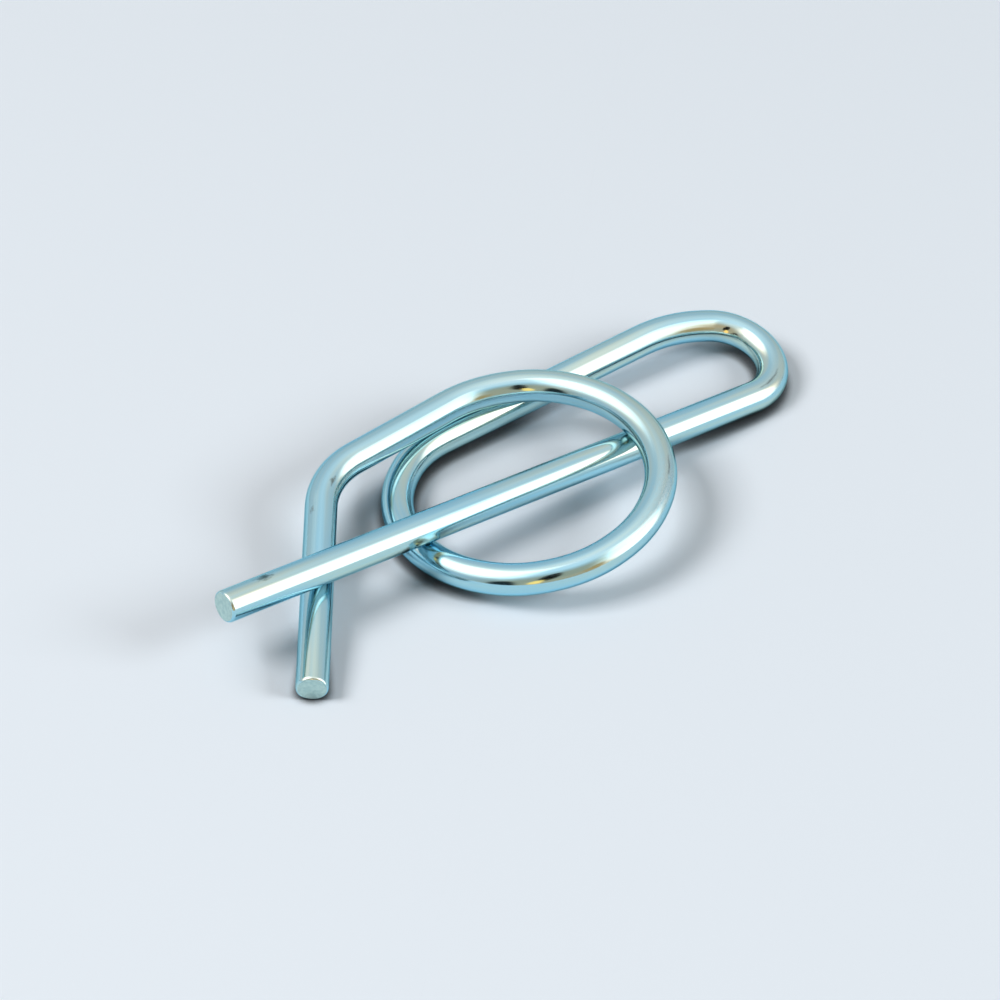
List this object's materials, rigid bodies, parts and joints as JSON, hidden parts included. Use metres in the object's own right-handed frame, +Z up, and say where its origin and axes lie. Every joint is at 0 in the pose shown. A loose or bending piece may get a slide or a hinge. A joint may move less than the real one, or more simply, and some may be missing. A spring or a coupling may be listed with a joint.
{
  "type": "ring cotter pin",
  "caption": "Spring-wire cotter pin: a long straight leg, a finger loop, a ring that closes round a shaft, and a short bent end that locks under the leg.",
  "frame": {"origin": "centre of the bounding box, on the plane that the pin lies on", "axes": "+X along the long leg from its free end to the finger loop, seen from above; +Y from the long leg to the other side of the finger loop; +Z up, away from the surface that the pin lies on"},
  "size_m": [0.0672, 0.027, 0.0084],
  "materials": {
    "zinc_plated_wire": "bright zinc plate with a thin clear-blue chromate on drawn spring steel wire"
  },
  "bodies": {
    "root": {"bent_wire_pin": "zinc_plated_wire"}
  },
  "joints": []
}
